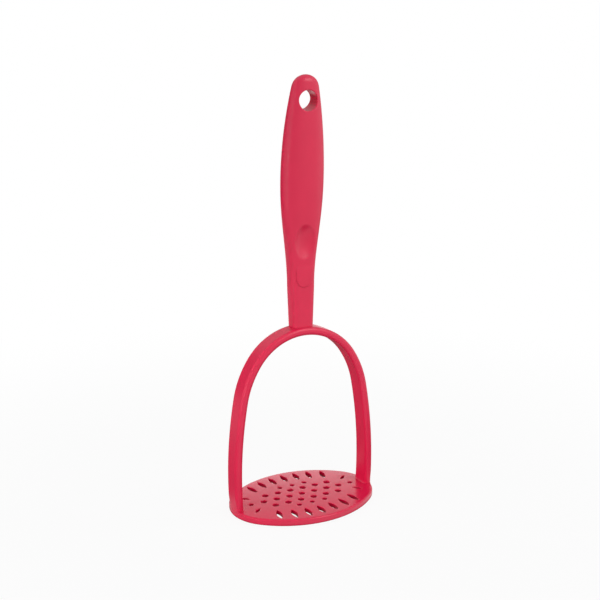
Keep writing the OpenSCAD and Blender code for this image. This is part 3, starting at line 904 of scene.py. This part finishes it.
class MASHER_OT_plate(bpy.types.Operator):
    """Model the oval plate with its holes, slots and rounded rims"""

    bl_idname = "masher.plate"
    bl_label = "Plate"

    def execute(self, context):
        sizes = context.scene.masher_plate
        form = PlateForm(sizes)
        foot_room = mm(0.3)
        foot_half = context.scene.masher_bow.width / 2 + foot_room
        bm = bmesh.new()
        draw_oval(bm, form)
        outline = {flat_key(v) for v in bm.verts}
        rounded = {place for place in outline if abs(place[1]) > foot_half}
        draw_holes(bm, sizes, form)
        bmesh.ops.remove_doubles(bm, verts=bm.verts, dist=LOOP_WELD)
        holes = {flat_key(v) for v in bm.verts} - outline
        bmesh.ops.triangle_fill(bm, edges=bm.edges[:], use_beauty=True, normal=(0, 0, 1))
        thicken(bm, (0, 0, sizes.thickness))
        soften(bm, rim_edges(bm, sizes.thickness, holes), sizes.rim, segments=3)
        soften(bm, rim_edges(bm, sizes.thickness, rounded), sizes.edge, segments=8)
        soften(bm, rim_edges(bm, 0.0, outline), sizes.foot_edge, segments=6)
        bm = combine(bm, self.recess(sizes), "DIFFERENCE")
        skin = shared_material("rubbed_red_skin", plate_skin_material)
        piece = add_piece(bm, "mashing_plate", "plate_cover", skin)
        level = piece.modifiers.new("level_shading", "WEIGHTED_NORMAL")
        level.keep_sharp = True
        return {"FINISHED"}

    @staticmethod
    def recess(sizes):
        """Block that hollows the underside inside the rim."""
        bm = bmesh.new()
        draw_oval(bm, PlateForm(sizes, sizes.rim_width))
        bmesh.ops.contextual_create(bm, geom=bm.edges[:])
        bmesh.ops.translate(bm, verts=bm.verts, vec=(0, 0, -sizes.web))
        thicken(bm, (0, 0, sizes.thickness))
        return bm


class MASHER_OT_bow(bpy.types.Operator):
    """Model the strap that is bent into the bow"""

    bl_idname = "masher.bow"
    bl_label = "Bow"

    def execute(self, context):
        sizes = context.scene.masher_bow
        form = BowForm(sizes)
        bm = bmesh.new()
        half = sizes.width / 2
        low = sizes.height - sizes.thickness
        section = ((-half, low), (half, low), (half, sizes.height), (-half, sizes.height))
        corners = [bm.verts.new((0, y, z)) for y, z in section]
        bm.faces.new(corners)
        soften(bm, corners, sizes.edge, segments=6, affect="VERTICES", clamp=True)
        bmesh.ops.delete(bm, geom=bm.faces[:], context="FACES_ONLY")
        sweep = bm.edges[:] + bm.verts[:]
        leg_past = math.radians(3)       # takes the leg into the plate, where it is cut off
        for middle, angle, steps in (
            (form.crown_mid, sizes.crown_slope, 36),
            (form.shoulder_mid, sizes.shoulder_slope - sizes.crown_slope, 20),
            (form.leg_mid, sizes.foot_slope + leg_past - sizes.shoulder_slope, 48),
        ):
            made = bmesh.ops.spin(
                bm, geom=sweep, cent=(middle.x, 0, middle.y), axis=(0, 1, 0), angle=angle, steps=steps,
                use_duplicate=False,
            )
            sweep = made["geom_last"]
        self.shape_foot(bm, sizes, form, PlateForm(context.scene.masher_plate))
        bmesh.ops.mirror(bm, geom=everything(bm), axis="X", merge_dist=LOOP_WELD)
        close_holes(bm)
        skin = shared_material("soft_red_skin", skin_material)
        add_piece(bm, "strap_bow", "bow_cover", skin)
        return {"FINISHED"}

    @staticmethod
    def shape_foot(bm, sizes, form, plate):
        """Cut a leg off in the plate, trim it to the oval and spread its inner side as a fillet."""
        plate_z, fillet, half = plate.thickness, sizes.foot_fillet, sizes.width / 2
        sink = mm(0.3)                   # how deep the foot goes into the plate
        trim_height = mm(8)              # height over the plate at which the trimming has died out
        outer_share = 0.6                # share of the strap's thickness that the fillet leaves alone
        side_past, side_run = mm(1), mm(4)      # the fillet fades over the run, to past the sides
        strips, flat_strips = 8, 6       # strips in the strap's half width, and those that lie flat
        foot = (0, 0, plate_z - sink)
        bmesh.ops.bisect_plane(
            bm, geom=everything(bm), plane_co=foot, plane_no=(0, 0, -1), clear_outer=True
        )
        turns = [math.radians(degrees) for degrees in range(0, 91, 10)]
        slice_grid(bm, 2, [plate_z + fillet * (1 - math.cos(angle)) for angle in turns])
        slice_grid(bm, 1, [half * i / strips for i in range(-flat_strips, flat_strips + 1)])
        for vert in bm.verts:
            height = max(0.0, vert.co.z - plate_z)
            past = vert.co.x - plate.end_reach(vert.co.y)
            vert.co.x -= max(0.0, past) * (1 - ease(height / trim_height))
            if height < fillet:
                spread = fillet - math.sqrt(fillet**2 - (fillet - height) ** 2)
                reach = math.hypot(vert.co.x - form.leg_mid.x, vert.co.z - form.leg_mid.y)
                share = (form.leg_radius - reach) / sizes.thickness
                inside = ease((share - outer_share) / (1 - outer_share))
                vert.co.x -= spread * inside * ease((half + side_past - abs(vert.co.y)) / side_run)


class MASHER_OT_neck(bpy.types.Operator):
    """Model the flat neck that stands on the crown"""

    bl_idname = "masher.neck"
    bl_label = "Neck"

    def execute(self, context):
        sizes = context.scene.masher_handle
        form = HandleForm(sizes)
        sink = mm(0.1)                   # how deep the neck goes into the crown
        foot_step, row_step, seam_step = mm(0.4), mm(0.8), mm(0.3)

        def point(z, angle):
            place = form.point(z, angle)
            if z <= sizes.crown:
                place.z = crown_z(place.x) - sink
            return place

        heights = [
            sizes.crown,
            *spaced(sizes.crown + foot_step, sizes.seam - seam_step, row_step),
            sizes.seam - seam_step,
            sizes.seam,
        ]
        bm = bmesh.new()
        tube(bm, heights, HANDLE_SPOKES, point)
        close_holes(bm)
        let = sizes.tongue_let + sizes.tongue_gap
        recess = tongue_block(form, sizes.tongue_gap, let + sizes.neck_depth)
        bmesh.ops.translate(recess, verts=recess.verts, vec=(0, -sizes.neck_depth, 0))
        lay_on_front(recess, form, 0.0)
        bm = combine(bm, recess, "DIFFERENCE")
        skin = shared_material("soft_red_skin", skin_material)
        add_piece(bm, "neck", "neck_sleeve", skin)
        return {"FINISHED"}


class MASHER_OT_grip(bpy.types.Operator):
    """Model the grip with its hanging hole, thumb dish and tongue"""

    bl_idname = "masher.grip"
    bl_label = "Grip"

    def execute(self, context):
        form = HandleForm(context.scene.masher_handle)
        bm = bmesh.new()
        tube(bm, grip_heights(form), HANDLE_SPOKES, form.point)
        close_holes(bm)
        bm = combine(bm, make_tongue(form), "UNION")
        bm = pierce(bm, form)
        skin = shared_material("soft_red_skin", skin_material)
        add_piece(bm, "handle_grip", "grip", skin)
        return {"FINISHED"}


class MASHER_OT_core(bpy.types.Operator):
    """Give the steel frame and the paddle inside the skin their finishes"""

    bl_idname = "masher.core"
    bl_label = "Frame inside"

    def execute(self, context):
        steel = shared_material("rolled_steel", steel_material)
        plastic = shared_material("stiff_plastic", core_material)
        for node, material in (
            ("stem_bar", steel), ("bow_strip", steel), ("plate_insert", steel), ("grip_core", plastic)
        ):
            slots = frame["nodes"][node].data.materials
            slots.clear()
            slots.append(material)
        return {"FINISHED"}


class MASHER_OT_stage(bpy.types.Operator):
    """Set up the floor, the soft lights and the camera"""

    bl_idname = "masher.stage"
    bl_label = "Stage"

    def execute(self, context):
        sizes = context.scene.masher_stage
        scene = context.scene
        scene.view_settings.view_transform = "Standard"
        scene.world = white_world(sizes.ambient)
        floor_half, floor_drop = mm(550), mm(0.2)
        bm = bmesh.new()
        bmesh.ops.create_grid(bm, x_segments=1, y_segments=1, size=floor_half)
        bmesh.ops.translate(bm, verts=bm.verts, vec=(0, 0, -floor_drop))
        mesh = to_mesh(bm, "floor")
        mesh.materials.append(shared_material("pale_floor", floor_material))
        floor = bpy.data.objects.new("floor", mesh)
        scene.collection.objects.link(floor)
        middle = CAD_BOX[1].z / 2
        self.add_box("left_box", (-0.85, 0.2, 0.4), middle, (0.25, 0.9), watts=1.2, mirrored=False)
        self.add_box("right_box", (0.85, -0.3, 0.4), middle, (0.3, 0.9), watts=2.0, mirrored=False)
        self.add_box("front_box", (0.5, -0.95, 0.82), middle, (0.7, 0.7), watts=4.5)
        low = self.add_box("low_box", (-0.75, -0.35, 0.12), mm(20), (0.3, 0.3), watts=0.2, mirrored=False)
        low.data.spread = math.radians(40)
        card = self.add_box("back_card", (0.08, 0.28, 0.07), mm(70), (0.3, 0.11), watts=0.17)
        card.visible_camera = False
        card.visible_diffuse = False
        self.add_camera(sizes)
        return {"FINISHED"}

    @staticmethod
    def add_box(name, place, aim, size, watts, mirrored=True):
        """Add a soft box that faces a height on the object's axis and may show in its gloss."""
        light = bpy.data.lights.new(name, "AREA")
        light.shape = "RECTANGLE"
        light.size, light.size_y = size
        light.energy = watts
        lamp = bpy.data.objects.new(name, light)
        lamp.visible_glossy = mirrored
        facing = (Vector((0, 0, aim)) - Vector(place)).to_track_quat("-Z", "Y")
        lamp.matrix_world = Matrix.Translation(place) @ facing.to_matrix().to_4x4()
        bpy.context.scene.collection.objects.link(lamp)
        return lamp

    @staticmethod
    def add_camera(sizes):
        """Place the camera where the photograph was taken from."""
        flat, drop = math.cos(sizes.elevation), -math.sin(sizes.elevation)
        forward = Vector((math.sin(sizes.azimuth) * flat, math.cos(sizes.azimuth) * flat, drop))
        right = Vector((math.cos(sizes.azimuth), -math.sin(sizes.azimuth), 0))
        up = right.cross(forward)
        turned = right * math.cos(sizes.roll) + up * math.sin(sizes.roll)
        raised = up * math.cos(sizes.roll) - right * math.sin(sizes.roll)
        data = bpy.data.cameras.new("camera")
        data.sensor_width = 36.0
        data.lens = sizes.lens
        data.shift_x = sizes.shift
        camera = bpy.data.objects.new("camera", data)
        place = Vector((0, 0, sizes.target)) - forward * sizes.distance
        axes = Matrix((turned, raised, -forward)).transposed().to_4x4()
        camera.matrix_world = Matrix.Translation(place) @ axes
        bpy.context.scene.collection.objects.link(camera)
        bpy.context.scene.camera = camera


OPERATORS = (
    MASHER_OT_stage,
    MASHER_OT_plate,
    MASHER_OT_bow,
    MASHER_OT_neck,
    MASHER_OT_grip,
    MASHER_OT_core,
)
GROUPS = {
    "masher_handle": HandleSizes,
    "masher_bow": BowSizes,
    "masher_plate": PlateSizes,
    "masher_finishes": Finishes,
    "masher_stage": StageSizes,
}


class MASHER_PT_panel(bpy.types.Panel):
    """Lists the pieces of the masher"""

    bl_label = "Potato masher"
    bl_idname = "MASHER_PT_panel"
    bl_space_type = "VIEW_3D"
    bl_region_type = "UI"
    bl_category = "Masher"

    def draw(self, context):
        for operator in OPERATORS:
            self.layout.operator(operator.bl_idname)


def register():
    for group in GROUPS.values():
        bpy.utils.register_class(group)
    for name, group in GROUPS.items():
        setattr(bpy.types.Scene, name, PointerProperty(type=group))
    for item in (*OPERATORS, MASHER_PT_panel):
        bpy.utils.register_class(item)


def unregister():
    for item in (MASHER_PT_panel, *reversed(OPERATORS)):
        bpy.utils.unregister_class(item)
    for name, group in GROUPS.items():
        delattr(bpy.types.Scene, name)
        bpy.utils.unregister_class(group)


def main():
    register()
    for operator in OPERATORS:
        group, name = operator.bl_idname.split(".")
        getattr(getattr(bpy.ops, group), name)()


if __name__ == "__main__":
    main()
